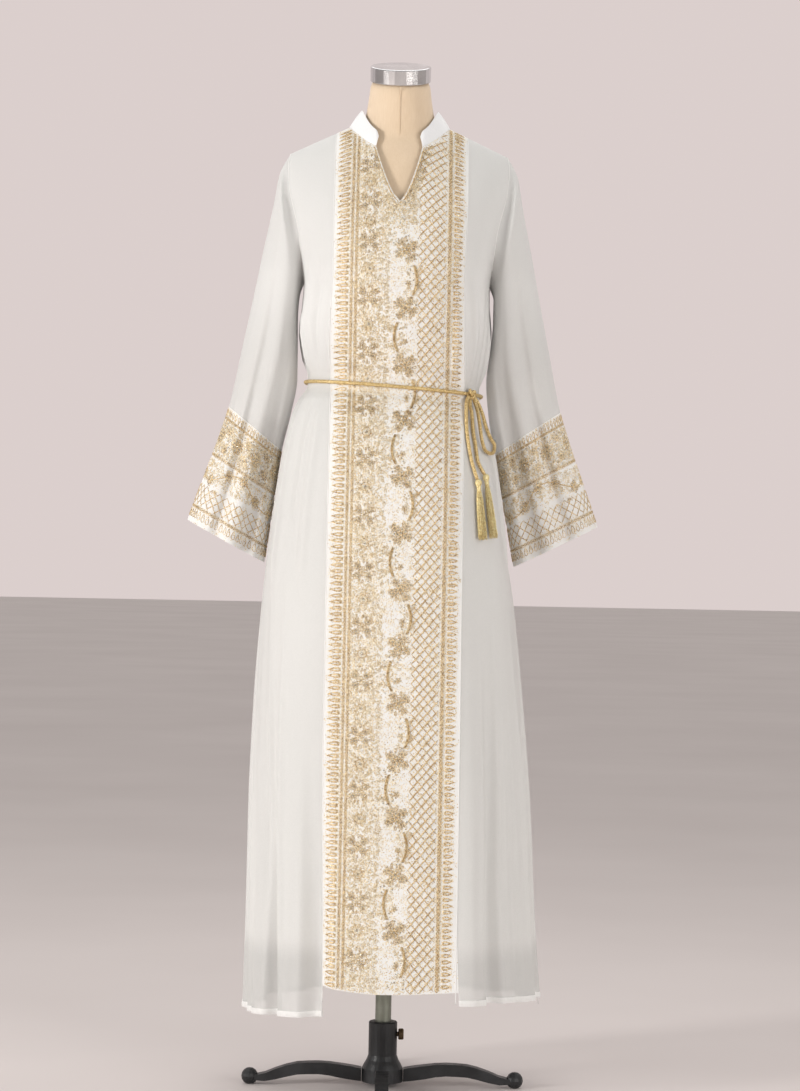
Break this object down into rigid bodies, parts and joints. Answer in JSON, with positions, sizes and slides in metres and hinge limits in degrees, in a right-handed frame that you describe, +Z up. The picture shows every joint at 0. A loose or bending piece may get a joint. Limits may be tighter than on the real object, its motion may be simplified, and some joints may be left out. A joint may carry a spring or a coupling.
{
  "type": "jalabiya on dress form",
  "caption": "Long A-line robe with stand collar, V slit, embroidered front band and cuffs, and a cord belt with tassels, on a limbless dress form whose pole stands in an arched cross base.",
  "frame": {"origin": "on the floor, on the axis of the stand's pole, which is the middle of the bounding box's bottom", "axes": "+Z up along the pole; the garment's front faces -Y; +X is to the right of a viewer who faces the front"},
  "size_m": [0.684, 0.4644, 1.6939],
  "materials": {
    "chiffon": "sheer white chiffon",
    "lining": "plain white lining",
    "embroidery": "white cloth with gold thread and stones",
    "collar": "plain white stiffened cloth",
    "gold_cord": "twisted metallic cord",
    "gold_thread": "glossy yellow-gold thread",
    "form_cover": "cream linen, stretched",
    "chrome": "polished",
    "pole_steel": "satin grey",
    "cast_iron": "black enamel"
  },
  "bodies": {
    "base": {"stand_hub": "cast_iron", "leg_right": "cast_iron", "leg_back": "cast_iron", "leg_left": "cast_iron", "leg_front": "cast_iron"},
    "form": {"pole": "pole_steel", "form_torso": "form_cover", "neck_cap": "chrome", "front_panel": "embroidery", "front_left": "chiffon", "front_right": "chiffon", "back_panel": "chiffon", "lining_skirt_front": "lining", "lining_skirt_back": "lining", "lining_top_front": "lining", "lining_top_back": "lining", "collar": "collar", "sleeve_left": "chiffon", "sleeve_right": "chiffon", "cuff_left": "embroidery", "cuff_right": "embroidery", "belt_cord": "gold_cord", "belt_knot": "gold_cord", "belt_tail_left": "gold_cord", "belt_tail_right": "gold_cord", "belt_loop": "gold_cord", "tassel_left": "gold_thread", "tassel_right": "gold_thread"},
    "screw": {"clamp_screw": "cast_iron"}
  },
  "joints": [
    {"name": "height_slide", "type": "slide", "parent": "base", "child": "form", "axis": [0, 0, 1], "range_m": [-0.022, 0.03]},
    {"name": "clamp_screw_turn", "type": "hinge", "parent": "base", "child": "screw", "pos_m": [0.0235, 0, 0.086], "axis": [1, 0, 0], "range_deg": [0, 360]}
  ]
}
